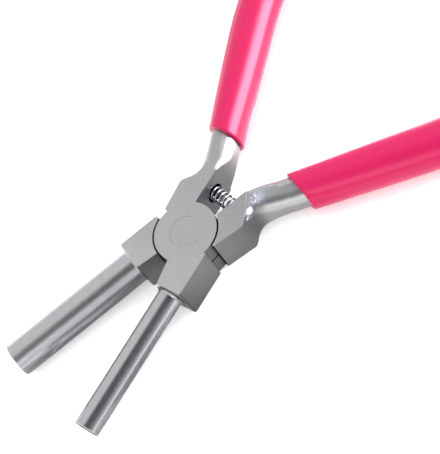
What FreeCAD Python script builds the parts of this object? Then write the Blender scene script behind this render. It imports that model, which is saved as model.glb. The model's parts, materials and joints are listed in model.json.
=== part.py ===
# Bail making pliers: two lap-jointed arms, two round mandrels, a flush rivet, a coil spring
# and two vinyl grips.
#
# Row frame, in millimetres: the joint's axis is Z, and z = 0 is the plane that the closed-up
# joint rests on when the pliers lie flat. +X runs along the pliers' centre line, from the joint
# to the mandrels' tips.
#
# Each arm is drawn in its own frame, where its mandrel runs along +X, its jaw lies at +Y, its
# handle at -Y, and z = 0 is the lap plane, with the arm's own joint plate above it. placed()
# then turns it to its place.

import FreeCAD
import Part
import math
import os

Vector = FreeCAD.Vector

# Joint
THICKNESS = 10.4            # both joint plates together, and each jaw and handle block
PLATE_RADIUS = 7.8          # round joint plate of each arm
PLATE_CLEARANCE = 0.45      # radial gap between a plate and the other arm's shoulders
LAP_CLEARANCE = 0.2         # gap between the two plates
PLATE_EDGE_BREAK = 0.12     # chamfer round each plate, towards the other
SHOULDER_ANGLE = 70.0       # from the arm's own centre line to its stop faces, on jaw and handle
OPEN_ANGLE = 22.5           # between the two mandrels as the pliers lie open

# Rivet
RIVET_SHANK_RADIUS = 2.6
RIVET_HEAD_RADIUS = 3.92
RIVET_HEAD_DEPTH = 1.8
RIVET_HEAD_BREAK = 0.12     # chamfer that shows as a fine ring on the joint's faces
RIVET_CLEARANCE = 0.05      # running clearance in the rear arm

# Jaws
JAW_LENGTH = 14.0           # from the joint's axis to the jaw's end face
JAW_ROOT_GAP = 0.15         # from the arm's own centre line to the jaw's inner side, beside the plate
JAW_EDGE_BREAK = 0.35       # chamfer round the jaw's end face
FRONT_JAW_INNER = 1.1       # from the arm's own centre line to the jaw's inner side at its end face
FRONT_JAW_OUTER = 7.95      # the same to the jaw's outer side
REAR_JAW_INNER = 0.65
REAR_JAW_OUTER = 8.7

# Mandrels: the small one on the front arm, the large one on the rear arm
SMALL_MANDREL_RADIUS = 3.0
SMALL_MANDREL_OFFSET = 2.9  # from the arm's own centre line to the mandrel's axis
LARGE_MANDREL_RADIUS = 4.25
LARGE_MANDREL_OFFSET = 4.95
MANDREL_LENGTH = 36.0       # exposed, from the jaw's end face to the tip
MANDREL_TIP_CHAMFER = 0.2
SPIGOT_LENGTH = 4.5
SPIGOT_SHARE = 0.6          # spigot radius as a share of the mandrel's radius

# Handle blocks and necks
BLOCK_OUTER_ROOT = 8.25     # from the arm's own centre line to the block's outer side, beside the plate
BLOCK_OUTER_END = 8.9       # the same at the block's outer corner
BLOCK_LENGTH = 11.0         # from the joint's axis to the block's outer corner
BLOCK_CORNER_ROUND = 1.2
BLOCK_TAPER = 1.4           # the block's side beyond its outer corner, up to the neck
BLOCK_TAPER_ANGLE = 40.0    # how far that side is turned towards the arm's own centre line
BLOCK_INNER_LENGTH = 16.8   # from the joint's axis to where the neck starts on the inner side
FRONT_SPRING_SIDE = 2.05    # from the arm's own centre line to the block's side that faces the spring
REAR_SPRING_SIDE = 1.85
NECK_ROOT_CORNER = 0.15     # rounding of the neck's corners where it starts
NECK_OUTER_REACH = 3.5      # how far the neck's outer side keeps on along the block before it turns
NECK_BAR_REACH = 7.0        # the same at the bar, looking back
NECK_INNER_REACH = 4.5      # the same for the neck's inner side, at both its ends
NECK_STATIONS = 5           # sections that the neck is drawn through
NECK_COVER = 1.7            # from where the bar is even to the middle of the grip's mouth
FRONT_HANDLE_CROSSING = 6.3 # from the joint's axis to where the handle's axis crosses the centre line
REAR_HANDLE_CROSSING = 8.4
FRONT_HANDLE_SPLAY = 20.8   # degrees between the handle's axis and the arm's own centre line
REAR_HANDLE_SPLAY = 23.7
BAR_HALF_HEIGHT = 3.65
FRONT_BAR_HALF_WIDTH = 3.65
REAR_BAR_HALF_WIDTH = 3.9
BAR_CORNER = 3.2

# Grips and the bars inside them
FRONT_GRIP_START = 21.95    # along the handle's axis, from its crossing to the middle of the mouth
REAR_GRIP_START = 19.75
GRIP_LENGTH = 76.0
FRONT_GRIP_MOUTH = 4.6      # half width at the mouth
REAR_GRIP_MOUTH = 4.95
FRONT_GRIP_HALF_WIDTH = 5.65
REAR_GRIP_HALF_WIDTH = 5.8
GRIP_WIDEST = 40.0          # along the grip, from its mouth to where it is widest
GRIP_LIP_ROUND = 0.5        # rounding of the mouth's outer edge
GRIP_END_ROUND = 0.8        # rounding of the closed end, as a share of the grip's smaller half width
GRIP_STATIONS = 10          # sections that the grip's outside is drawn through
GRIP_WASTE = 6.0            # extra length that the slanted mouth is cut from
GRIP_BORE_CLEARANCE = 0.05
BAR_END_COVER = 6.0         # vinyl beyond the bar's end
GRIP_TO_BEND = 30.8         # from the middle of the grip's mouth to where the handle bends inward
BEND_RADIUS = 115.0

# Return spring
SPRING_X = 12.4             # from the joint's axis to the spring's axis
SPRING_RADIUS = 1.9         # outside
SPRING_WIRE = 0.6
SPRING_HALF_LENGTH = 6.1
SPRING_PITCH = 1.3
SPRING_SEAT_GAP = 0.1       # between the wire's end and the pocket's floor
POCKET_RADIUS = 2.4
COIL_GAP_POINTS = 400       # points along the wire that its gap to itself is measured on

# Cuts and tolerances
CUT_OVERRUN = 1.0           # how far a cut starts outside what it cuts
EDGE_TOLERANCE = 0.001      # how far from its worked-out place an edge is still found
MOUTH_TOLERANCE = 0.01      # the same for the grip's mouth, whose edges are free curves

ORIGIN = Vector(0, 0, 0)
X_AXIS = Vector(1, 0, 0)
Y_AXIS = Vector(0, 1, 0)
Z_AXIS = Vector(0, 0, 1)


class Arm:
    """The sizes that differ between the two arms, and whether it is the rear one, turned over."""

    def __init__(self, mandrel, jaw, spring_side, handle, bar_half_width, grip, rear):
        self.mandrel_radius, self.mandrel_offset = mandrel
        self.jaw_inner, self.jaw_outer = jaw
        self.spring_side = spring_side
        self.handle_crossing, self.handle_splay = handle
        self.bar_half_width = bar_half_width
        self.grip_start, self.grip_mouth, self.grip_half_width = grip
        self.rear = rear

    def neck_end(self):
        """Length along the handle's axis to where the bar is even."""
        return self.grip_start - NECK_COVER

    def bend_start(self):
        """Length along the handle's axis to where it bends inward."""
        return self.grip_start + GRIP_TO_BEND

    def bar_end(self):
        """Length along the handle's axis to the end of the bar inside the grip."""
        return self.grip_start + GRIP_LENGTH - BAR_END_COVER


FRONT = Arm(
    mandrel=(SMALL_MANDREL_RADIUS, SMALL_MANDREL_OFFSET),
    jaw=(FRONT_JAW_INNER, FRONT_JAW_OUTER),
    spring_side=FRONT_SPRING_SIDE,
    handle=(FRONT_HANDLE_CROSSING, FRONT_HANDLE_SPLAY),
    bar_half_width=FRONT_BAR_HALF_WIDTH,
    grip=(FRONT_GRIP_START, FRONT_GRIP_MOUTH, FRONT_GRIP_HALF_WIDTH),
    rear=False,
)
REAR = Arm(
    mandrel=(LARGE_MANDREL_RADIUS, LARGE_MANDREL_OFFSET),
    jaw=(REAR_JAW_INNER, REAR_JAW_OUTER),
    spring_side=REAR_SPRING_SIDE,
    handle=(REAR_HANDLE_CROSSING, REAR_HANDLE_SPLAY),
    bar_half_width=REAR_BAR_HALF_WIDTH,
    grip=(REAR_GRIP_START, REAR_GRIP_MOUTH, REAR_GRIP_HALF_WIDTH),
    rear=True,
)


def placed(shape, arm):
    """Turns a shape from its arm's own frame to its place in the open pliers."""
    shape = shape.copy()
    turn = OPEN_ANGLE / 2
    if arm.rear:
        shape.rotate(ORIGIN, X_AXIS, 180)
        turn = -turn
    shape.rotate(ORIGIN, Z_AXIS, turn)
    shape.translate(Vector(0, 0, THICKNESS / 2))
    return shape


def prism(points, low, high):
    """A plate between two heights, with straight sides through the points."""
    corners = [Vector(x, y, low) for x, y in points]
    return Part.Face(Part.makePolygon(corners + corners[:1])).extrude(Vector(0, 0, high - low))


def cylinder(radius, start, direction, length):
    """A cylinder from a start point."""
    return Part.makeCylinder(radius, length, start, direction)


def rounded_section(centre, heading, half_width, half_height, corner):
    """A rounded rectangle square to a heading in the plane of the arm: four lines and four arcs."""
    side = Vector(-math.sin(heading), math.cos(heading), 0)
    inner_w, inner_h = half_width - corner, half_height - corner
    bulge = corner * math.sqrt(0.5)

    def at(w, h):
        return centre + side * w + Z_AXIS * h

    edges = []
    signs = [(1, 1), (-1, 1), (-1, -1), (1, -1)]
    for index, (sw, sh) in enumerate(signs):
        along = at(sw * inner_w, sh * half_height)
        across = at(sw * half_width, sh * inner_h)
        middle = at(sw * (inner_w + bulge), sh * (inner_h + bulge))
        first, last = (across, along) if sw * sh > 0 else (along, across)
        edges.append(Part.Arc(first, middle, last).toShape())
        next_w, next_h = signs[(index + 1) % 4]
        if sw * sh > 0:
            end = at(next_w * inner_w, next_h * half_height)
        else:
            end = at(next_w * half_width, next_h * inner_h)
        edges.append(Part.LineSegment(last, end).toShape())
    return Part.Wire(edges)


def handle_point(arm, along):
    """A point of the handle's axis and the heading there, in radians, at a length along the axis."""
    heading = math.radians(180 + arm.handle_splay)
    straight = min(along, arm.bend_start())
    crossing = Vector(-arm.handle_crossing, 0, 0)
    point = crossing + Vector(math.cos(heading), math.sin(heading), 0) * straight
    if along > arm.bend_start():
        turn = (along - arm.bend_start()) / BEND_RADIUS
        # The bend's centre lies on the inner side of the handle.
        centre = point + Vector(math.sin(heading), -math.cos(heading), 0) * BEND_RADIUS
        heading -= turn
        point = centre - Vector(math.sin(heading), -math.cos(heading), 0) * BEND_RADIUS
    return point, heading


def handle_path(arm, start, end):
    """The handle's axis between two lengths along it, as a wire of a line and an arc."""
    edges = []
    bend = arm.bend_start()
    if start < bend:
        ends = [handle_point(arm, along)[0] for along in (start, min(end, bend))]
        edges.append(Part.LineSegment(*ends).toShape())
    if end > bend:
        first = max(start, bend)
        points = [handle_point(arm, along)[0] for along in (first, (first + end) / 2, end)]
        edges.append(Part.Arc(*points).toShape())
    return Part.Wire(edges)


def handle_bar(arm, start, end, extra):
    """The even bar along the handle's axis, larger by extra all round."""
    point, heading = handle_point(arm, start)
    half_width = arm.bar_half_width + extra
    section = rounded_section(point, heading, half_width, BAR_HALF_HEIGHT + extra, BAR_CORNER + extra)
    return handle_path(arm, start, end).makePipeShell([section], True, False)


def bezier(start, start_heading, start_reach, end, end_heading, end_reach):
    """A curve between two points that leaves and arrives along given headings."""
    curve = Part.BezierCurve()
    leave = Vector(math.cos(start_heading), math.sin(start_heading), 0) * start_reach
    arrive = Vector(math.cos(end_heading), math.sin(end_heading), 0) * end_reach
    curve.setPoles([start, start + leave, end - arrive, end])
    return curve


def neck(arm):
    """The neck: a loft from the handle block to the even bar, its corners rounding on the way."""
    half = THICKNESS / 2
    bar_centre, heading = handle_point(arm, arm.neck_end())
    bar_side = Vector(-math.sin(heading), math.cos(heading), 0) * arm.bar_half_width
    bar_outer, bar_inner = bar_centre + bar_side, bar_centre - bar_side
    block_outer, block_inner = neck_root(arm)
    slope = math.radians(180 - BLOCK_TAPER_ANGLE)
    outer = bezier(block_outer, slope, NECK_OUTER_REACH, bar_outer, heading, NECK_BAR_REACH)
    inner = bezier(block_inner, math.pi, NECK_INNER_REACH, bar_inner, heading, NECK_INNER_REACH)
    sections = []
    for step in range(NECK_STATIONS + 1):
        share = step / NECK_STATIONS
        ease = share * share * (3 - 2 * share)
        across = outer.value(share) - inner.value(share)
        centre = (outer.value(share) + inner.value(share)) * 0.5
        half_height = half + (BAR_HALF_HEIGHT - half) * ease
        rounding = math.sin(math.pi / 2 * math.sqrt(share))
        corner = NECK_ROOT_CORNER + (BAR_CORNER - NECK_ROOT_CORNER) * rounding
        turn = math.atan2(-across.x, across.y)
        sections.append(rounded_section(centre, turn, across.Length / 2, half_height, corner))
    return Part.makeLoft(sections, True, False)


def neck_root(arm):
    """The outer and the inner end of the line where the handle block ends and the neck starts."""
    taper = math.radians(BLOCK_TAPER_ANGLE)
    side = Vector(-math.cos(taper), math.sin(taper), 0) * BLOCK_TAPER
    outer = Vector(-BLOCK_LENGTH, -BLOCK_OUTER_END, 0) + side
    return outer, Vector(-BLOCK_INNER_LENGTH, -arm.spring_side, 0)


def jaw_block(arm):
    """The jaw: a block from the joint's axis to the mandrel's seat, chamfered round its end face."""
    half = THICKNESS / 2
    shoulder = math.radians(SHOULDER_ANGLE)
    outline = [
        (0, 0),
        (PLATE_RADIUS, JAW_ROOT_GAP),
        (JAW_LENGTH, arm.jaw_inner),
        (JAW_LENGTH, arm.jaw_outer),
        (arm.jaw_outer / math.tan(shoulder), arm.jaw_outer),
    ]
    block = prism(outline, -half, half)
    end_edges = [edge for edge in block.Edges if edge.BoundBox.XMin > JAW_LENGTH - EDGE_TOLERANCE]
    block = block.makeChamfer(JAW_EDGE_BREAK, end_edges)
    seat = Vector(JAW_LENGTH, arm.mandrel_offset, 0)
    return block.cut(cylinder(SPIGOT_SHARE * arm.mandrel_radius, seat, -X_AXIS, SPIGOT_LENGTH))


def handle_block(arm):
    """The block between the joint and the neck, its outer corner rounded."""
    half = THICKNESS / 2
    shoulder = math.radians(SHOULDER_ANGLE)
    neck_outer, neck_inner = neck_root(arm)
    corner = (-BLOCK_LENGTH, -BLOCK_OUTER_END)
    outline = [
        (0, 0),
        (-BLOCK_OUTER_ROOT / math.tan(shoulder), -BLOCK_OUTER_ROOT),
        corner,
        (neck_outer.x, neck_outer.y),
        (neck_inner.x, neck_inner.y),
        (-PLATE_RADIUS, -arm.spring_side),
    ]
    block = prism(outline, -half, half)
    upright = Vector(corner[0], corner[1], 0)
    edges = [
        edge for edge in block.Edges
        if edge.CenterOfMass.distanceToPoint(upright) < EDGE_TOLERANCE
    ]
    return block.makeFillet(BLOCK_CORNER_ROUND, edges)


def arm_forging(arm):
    """A whole arm in its own frame: plate, jaw, handle block, neck and bar."""
    half = THICKNESS / 2
    lap = LAP_CLEARANCE / 2
    solid = jaw_block(arm).fuse(handle_block(arm))
    # Room for the other arm's joint plate.
    room_floor = Vector(0, 0, -half - CUT_OVERRUN)
    room = cylinder(PLATE_RADIUS + PLATE_CLEARANCE, room_floor, Z_AXIS, half + CUT_OVERRUN + lap)
    solid = solid.cut(room)
    plate = cylinder(PLATE_RADIUS, Vector(0, 0, lap), Z_AXIS, half - lap)
    lap_edge = min(plate.Edges, key=lambda edge: edge.CenterOfMass.z)
    plate = plate.makeChamfer(PLATE_EDGE_BREAK, [lap_edge])
    bar = handle_bar(arm, arm.neck_end(), arm.bar_end(), 0)
    solid = solid.fuse([plate, neck(arm), bar])
    # The rivet is pressed into the front arm and turns in the rear one.
    gap = RIVET_CLEARANCE if arm.rear else 0
    shank_hole = cylinder(RIVET_SHANK_RADIUS + gap, Vector(0, 0, -half), Z_AXIS, 2 * half)
    seat_floor = Vector(0, 0, half - RIVET_HEAD_DEPTH - gap)
    head_seat = cylinder(RIVET_HEAD_RADIUS + gap, seat_floor, Z_AXIS, half)
    solid = solid.cut([shank_hole, head_seat])
    return solid.removeSplitter()


def spring_pocket():
    """The drilled hole that both arms' pockets are part of."""
    reach = SPRING_HALF_LENGTH + SPRING_SEAT_GAP
    return cylinder(POCKET_RADIUS, Vector(-SPRING_X, -reach, THICKNESS / 2), Y_AXIS, 2 * reach)


def mandrel(arm):
    """A mandrel with its spigot, in its arm's own frame."""
    seat = Vector(JAW_LENGTH, arm.mandrel_offset, 0)
    pin = cylinder(arm.mandrel_radius, seat, X_AXIS, MANDREL_LENGTH)
    tip = max(pin.Edges, key=lambda edge: edge.CenterOfMass.x)
    pin = pin.makeChamfer(MANDREL_TIP_CHAMFER, [tip])
    spigot = cylinder(SPIGOT_SHARE * arm.mandrel_radius, seat, -X_AXIS, SPIGOT_LENGTH)
    return pin.fuse(spigot).removeSplitter()


def rivet():
    """The rivet with a flush head at each face of the joint."""
    def head(z, direction):
        disc = cylinder(RIVET_HEAD_RADIUS, Vector(0, 0, z), direction, RIVET_HEAD_DEPTH)
        rim = min(disc.Edges, key=lambda edge: abs(edge.CenterOfMass.z - z))
        return disc.makeChamfer(RIVET_HEAD_BREAK, [rim])

    shank = cylinder(RIVET_SHANK_RADIUS, ORIGIN, Z_AXIS, THICKNESS)
    return shank.fuse([head(0, Z_AXIS), head(THICKNESS, -Z_AXIS)]).removeSplitter()


def oval(centre, heading, half_width, half_height):
    """An ellipse square to a heading in the plane of the arm: a unit circle stretched into place."""
    side = Vector(-math.sin(heading), math.cos(heading), 0)
    curve = Part.Circle(ORIGIN, Z_AXIS, 1.0).toBSpline()
    for index, pole in enumerate(curve.getPoles(), 1):
        curve.setPole(index, centre + side * (half_width * pole.x) + Z_AXIS * (half_height * pole.y))
    return Part.Wire(curve.toShape())


def grip(arm):
    """A vinyl sleeve: an oval form along the handle's axis, hollow for the bar.

    Its mouth is square to the arm's own centre line.
    """
    half_height = THICKNESS / 2
    sections = []
    for step in range(GRIP_STATIONS + 1):
        along = -GRIP_WASTE + (GRIP_LENGTH + GRIP_WASTE) * step / GRIP_STATIONS
        point, heading = handle_point(arm, arm.grip_start + along)
        share = math.sin(math.pi / 2 * max(0.0, min(1.0, along / GRIP_WIDEST)))
        half_width = arm.grip_mouth + (arm.grip_half_width - arm.grip_mouth) * share
        sections.append(oval(point, heading, half_width, half_height))
    outer = Part.makeLoft(sections, True, False)
    closed_end = handle_point(arm, arm.grip_start + GRIP_LENGTH)[0]
    rim = min(outer.Edges, key=lambda edge: edge.CenterOfMass.distanceToPoint(closed_end))
    outer = outer.makeFillet(GRIP_END_ROUND * min(half_width, half_height), [rim])
    bore_end = arm.bar_end() + GRIP_BORE_CLEARANCE
    bore = handle_bar(arm, arm.neck_end(), bore_end, GRIP_BORE_CLEARANCE)
    mouth = handle_point(arm, arm.grip_start)[0]
    waste_corner = mouth - Vector(0, THICKNESS, THICKNESS)
    waste = Part.makeBox(2 * GRIP_WASTE, 2 * THICKNESS, 2 * THICKNESS, waste_corner)
    sleeve = outer.cut([bore, waste])
    mouth_edges = [edge for edge in sleeve.Edges if edge.BoundBox.XMin > mouth.x - MOUTH_TOLERANCE]
    lip = max(mouth_edges, key=lambda edge: edge.Length)
    return sleeve.makeFillet(GRIP_LIP_ROUND, [lip])


def coil_point(angle):
    """A point of the spring's wire and its direction, at an angle counted from the coil's middle."""
    radius = SPRING_RADIUS - SPRING_WIRE / 2
    rise = SPRING_PITCH / (2 * math.pi)
    across = Vector(math.cos(angle), 0, -math.sin(angle)) * radius
    point = Vector(-SPRING_X, rise * angle, THICKNESS / 2) + across
    direction = Vector(-radius * math.sin(angle), rise, -radius * math.cos(angle))
    return point, direction.normalize()


def corner_arc(start, corner, end):
    """The arc that leaves start towards corner and reaches end from it, with corner as far from both."""
    middle = (start + end) * 0.5
    reach = (corner - start).Length
    half_angle = math.asin(min(1.0, (middle - start).Length / reach))
    radius = reach * math.tan(half_angle)
    inward = (middle - corner).normalize()
    return Part.Arc(start, corner + inward * (radius / math.sin(half_angle) - radius), end).toShape()


def biarc(start, start_direction, end, end_direction):
    """Two arcs that join two points smoothly, each leaving in its given direction."""
    chord = end - start
    both = start_direction + end_direction
    a = both.dot(both) - 4
    b = -2 * chord.dot(both)
    c = chord.dot(chord)
    reach = (-b - math.sqrt(b * b - 4 * a * c)) / (2 * a)
    first = start + start_direction * reach
    last = end - end_direction * reach
    joint = (first + last) * 0.5
    return [corner_arc(start, first, joint), corner_arc(joint, last, end)]


def spring():
    """The coil spring as one unbroken wire, its turns worked out in quarter-turn pairs of arcs."""
    half_turns = (2 * SPRING_HALF_LENGTH - SPRING_WIRE) / SPRING_PITCH / 2
    quarters = int(round(8 * half_turns))
    angles = [(index / quarters - 0.5) * 4 * math.pi * half_turns for index in range(quarters + 1)]
    edges = []
    for first, last in zip(angles[:-1], angles[1:]):
        edges += biarc(*coil_point(first), *coil_point(last))
    start, direction = coil_point(angles[0])
    ring = Part.Wire(Part.Circle(start, direction, SPRING_WIRE / 2).toShape())
    wire = Part.Wire(edges).makePipeShell([ring], True, False)
    print("spring: least gap of the wire to itself %.2f mm" % coil_gap(angles[0], angles[-1]))
    return wire


def coil_gap(first, last):
    """The least gap between the wire's surface and its neighbouring turns, measured on points."""
    count = COIL_GAP_POINTS
    step = (last - first) / count
    points = [coil_point(first + step * index)[0] for index in range(count + 1)]
    skip = int(math.pi / step)
    gaps = [
        (points[i] - points[j]).Length
        for i in range(count + 1)
        for j in range(i + skip, min(count + 1, i + 3 * skip))
    ]
    return min(gaps) - SPRING_WIRE


def main():
    """Builds every node and writes one file for each."""
    pocket = spring_pocket()
    nodes = {
        "front_arm": placed(arm_forging(FRONT), FRONT).cut(pocket),
        "rear_arm": placed(arm_forging(REAR), REAR).cut(pocket),
        "small_mandrel": placed(mandrel(FRONT), FRONT),
        "large_mandrel": placed(mandrel(REAR), REAR),
        "joint_rivet": rivet(),
        "return_spring": spring(),
        "front_grip": placed(grip(FRONT), FRONT),
        "rear_grip": placed(grip(REAR), REAR),
    }
    os.makedirs("parts", exist_ok=True)
    for name, shape in nodes.items():
        facts = (name, len(shape.Solids), shape.isValid(), shape.Volume)
        print("%-14s solids %d valid %s volume %.1f" % facts)
        shape.exportStep("parts/%s.step" % name)


main()
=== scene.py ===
"""Bail making pliers lying open on a pale studio floor.

Each sub-assembly is a class that builds its meshes and dresses them: the forged arms, the mandrels, the
rivet, the coil spring and the vinyl sleeves. Lengths in the classes are in millimetres, and MM turns them
into metres. At rest each arm's centre line lies HALF_OPENING degrees off the X axis, and the plates meet
LAP_HEIGHT above the rest face. Points nearer than WELD metres are made one, or CAD_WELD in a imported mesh.
"""

import json
import logging
import math
from dataclasses import dataclass, replace
from enum import Enum

import bmesh
import bpy
from mathutils import Matrix, Vector


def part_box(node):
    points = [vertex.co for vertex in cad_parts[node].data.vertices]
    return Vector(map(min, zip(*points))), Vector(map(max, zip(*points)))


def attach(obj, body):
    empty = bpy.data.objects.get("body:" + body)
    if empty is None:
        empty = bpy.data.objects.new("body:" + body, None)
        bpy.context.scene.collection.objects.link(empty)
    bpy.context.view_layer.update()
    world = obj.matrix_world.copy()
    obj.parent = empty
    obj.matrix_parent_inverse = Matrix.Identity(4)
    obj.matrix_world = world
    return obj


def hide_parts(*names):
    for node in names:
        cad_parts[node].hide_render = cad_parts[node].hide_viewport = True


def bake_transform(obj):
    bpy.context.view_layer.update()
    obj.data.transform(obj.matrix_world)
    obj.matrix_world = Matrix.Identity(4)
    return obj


Pair = tuple[float, float]
Triple = tuple[float, float, float]
Feeds = dict[str | int, object]

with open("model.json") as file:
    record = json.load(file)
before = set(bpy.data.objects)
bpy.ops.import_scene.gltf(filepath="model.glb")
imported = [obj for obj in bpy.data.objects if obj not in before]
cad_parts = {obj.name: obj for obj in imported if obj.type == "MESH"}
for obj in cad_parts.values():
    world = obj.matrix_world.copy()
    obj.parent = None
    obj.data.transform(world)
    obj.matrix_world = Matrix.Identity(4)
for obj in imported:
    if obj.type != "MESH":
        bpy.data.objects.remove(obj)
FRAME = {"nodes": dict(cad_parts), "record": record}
MM = 0.001
HALF_OPENING = 11.25
LAP_HEIGHT = 5.2
WELD = 1e-7
CAD_WELD = 5e-7
NODE_GAP = 200
WHITE = (1.0, 1.0, 1.0, 1.0)
CARD_BLACK = (0.05, 0.05, 0.05)
LOG = logging.getLogger("pliers")


class Slot(Enum):
    """The material slots of the record, by the piece that wears them."""

    SATIN = "satin_steel"
    POLISHED = "polished_steel"
    RIVET = "rivet_steel"
    WIRE = "spring_wire"
    VINYL = "pink_vinyl"


class Half(Enum):
    """The two halves that turn on the rivet."""

    FRONT = "front_half"
    REAR = "rear_half"


class Socket(Enum):
    """The kinds of socket that the shared effects have."""

    VALUE = "NodeSocketFloat"
    COLOUR = "NodeSocketColor"
    VECTOR = "NodeSocketVector"


# Materials


class Nodes:
    """A node tree that is filled from left to right."""

    def __init__(self, tree: bpy.types.NodeTree) -> None:
        """Takes a tree and empties it."""
        self.tree = tree
        tree.nodes.clear()

    def add(self, kind: str, feeds: Feeds | None = None, **settings: object) -> bpy.types.Node:
        """Adds a node and fills its inputs.

        Args:
            kind: The node's type name without its ShaderNode prefix, or a full type name.
            feeds: What each input takes, by its name or number: a node, whose first output in use is
                linked, one output of a node, or a value.
            **settings: Properties to set on the node before its inputs are filled.

        Returns:
            The new node.
        """
        full = kind if kind.startswith("Node") else "ShaderNode" + kind
        node = self.tree.nodes.new(full)
        for name, value in settings.items():
            setattr(node, name, value)
        node.location = (NODE_GAP * len(self.tree.nodes), 0)
        for name, feed in (feeds or {}).items():
            if isinstance(feed, bpy.types.Node):
                feed = next(output for output in feed.outputs if output.enabled)
            if isinstance(feed, bpy.types.NodeSocket):
                self.tree.links.new(feed, node.inputs[name])
            else:
                node.inputs[name].default_value = feed
        return node


def new_group(
    name: str, inputs: dict[str, tuple[Socket, object]], outputs: dict[str, Socket],
) -> tuple[Nodes, bpy.types.bpy_prop_collection]:
    """Starts a shader node group.

    Args:
        name: The group's name.
        inputs: Input names, each with its kind of socket and default value.
        outputs: Output names, each with its kind of socket.

    Returns:
        The group's nodes, and the sockets that give its inputs inside.
    """
    tree = bpy.data.node_groups.new(name, "ShaderNodeTree")
    for label, (kind, default) in inputs.items():
        socket = tree.interface.new_socket(label, in_out="INPUT", socket_type=kind.value)
        socket.default_value = default
    for label, kind in outputs.items():
        tree.interface.new_socket(label, in_out="OUTPUT", socket_type=kind.value)
    nodes = Nodes(tree)
    return nodes, nodes.add("NodeGroupInput").outputs


def new_material(name: str) -> tuple[bpy.types.Material, Nodes]:
    """Starts a material.

    Args:
        name: The material's name.

    Returns:
        The material, and its nodes, of which it has none yet.
    """
    material = bpy.data.materials.new(name)
    material.use_nodes = True
    return material, Nodes(material.node_tree)


def grain_group() -> bpy.types.NodeTree:
    """Fine lines that a grinding belt leaves, and the cloudy tone under them.

    Returns:
        A group that gives the lines' height and a cloudy value, both from 0 to 1.
    """
    nodes, given = new_group(
        "Ground Grain",
        {
            "Turn": (Socket.VALUE, 0.0),
            "Lines Per Metre": (Socket.VALUE, 9000.0),
            "Stretch": (Socket.VALUE, 0.04),
            "Cloud Scale": (Socket.VALUE, 160.0),
        },
        {"Lines": Socket.VALUE, "Cloud": Socket.VALUE},
    )
    place = nodes.add("TexCoord").outputs["Object"]
    turned = nodes.add("VectorRotate", {"Vector": place, "Angle": given["Turn"]}, rotation_type="Z_AXIS")
    stretch = nodes.add("CombineXYZ", {"X": given["Stretch"], "Y": 1.0, "Z": 1.0})
    scaled = nodes.add("VectorMath", {0: turned, 1: stretch}, operation="MULTIPLY")
    lines = nodes.add("TexNoise", {
        "Vector": scaled, "Scale": given["Lines Per Metre"], "Detail": 4.0, "Roughness": 0.65,
    })
    cloud = nodes.add("TexNoise", {"Vector": place, "Scale": given["Cloud Scale"], "Detail": 3.0})
    nodes.add("NodeGroupOutput", {"Lines": lines, "Cloud": cloud})
    return nodes.tree


def wear_group() -> bpy.types.NodeTree:
    """Brighter metal where a piece's edges have been rubbed.

    Returns:
        A group that gives a colour and a wear mask from 0 to 1.
    """
    nodes, given = new_group(
        "Edge Wear",
        {
            "Color": (Socket.COLOUR, (0.5, 0.5, 0.5, 1.0)),
            "Worn Color": (Socket.COLOUR, (0.8, 0.8, 0.8, 1.0)),
            "Amount": (Socket.VALUE, 0.5),
            "Patch Scale": (Socket.VALUE, 700.0),
        },
        {"Color": Socket.COLOUR, "Wear": Socket.VALUE},
    )
    edge = nodes.add("Attribute", attribute_name="edge_wear").outputs["Fac"]
    place = nodes.add("TexCoord").outputs["Object"]
    patches = nodes.add("TexNoise", {"Vector": place, "Scale": given["Patch Scale"], "Detail": 2.0})
    spread = nodes.add("MapRange", {"Value": patches, "From Min": 0.3, "From Max": 0.6})
    rubbed = nodes.add("Math", {0: edge, 1: spread}, operation="MULTIPLY")
    amount = nodes.add("Math", {0: rubbed, 1: given["Amount"]}, operation="MULTIPLY")
    colours = {"Factor": amount, "A": given["Color"], "B": given["Worn Color"]}
    mix = nodes.add("Mix", colours, data_type="RGBA")
    nodes.add("NodeGroupOutput", {"Color": mix, "Wear": amount})
    return nodes.tree


def painted_shade_group() -> bpy.types.NodeTree:
    """Paints shade on the flanks, which the grinding belt also leaves coarser than the flats, and paints
    shade in the crevices.

    Returns:
        A group that gives a colour with the painted shade, a mask that is 1 on flanks and in crevices, and
        one that is 0 in the crevices' painted shade.
    """
    nodes, given = new_group(
        "Painted Flank And Crevice Shade",
        {
            "Color": (Socket.COLOUR, (0.5, 0.5, 0.5, 1.0)),
            "Flank Shade Color": (Socket.COLOUR, (0.3, 0.3, 0.3, 1.0)),
            "Crevice Shade Color": (Socket.COLOUR, (0.02, 0.02, 0.02, 1.0)),
        },
        {"Color": Socket.COLOUR, "Coarse": Socket.VALUE, "Unshaded": Socket.VALUE},
    )
    flank_shade = nodes.add("Attribute", attribute_name="flank_shade").outputs["Fac"]
    crevice_shade = nodes.add("Attribute", attribute_name="crevice_shade").outputs["Fac"]
    sides = {"Factor": flank_shade, "A": given["Color"], "B": given["Flank Shade Color"]}
    side = nodes.add("Mix", sides, data_type="RGBA")
    shaded = nodes.add("Mix", {"Factor": crevice_shade, "A": side, "B": given["Crevice Shade Color"]}, data_type="RGBA")
    coarse = nodes.add("Math", {0: flank_shade, 1: crevice_shade}, operation="MAXIMUM")
    # The crevices' painted shade is also made non-metallic, so that it stays dark.
    unshaded = nodes.add("Math", {0: 1.0, 1: crevice_shade}, operation="SUBTRACT")
    nodes.add("NodeGroupOutput", {"Color": shaded, "Coarse": coarse, "Unshaded": unshaded})
    return nodes.tree


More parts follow.
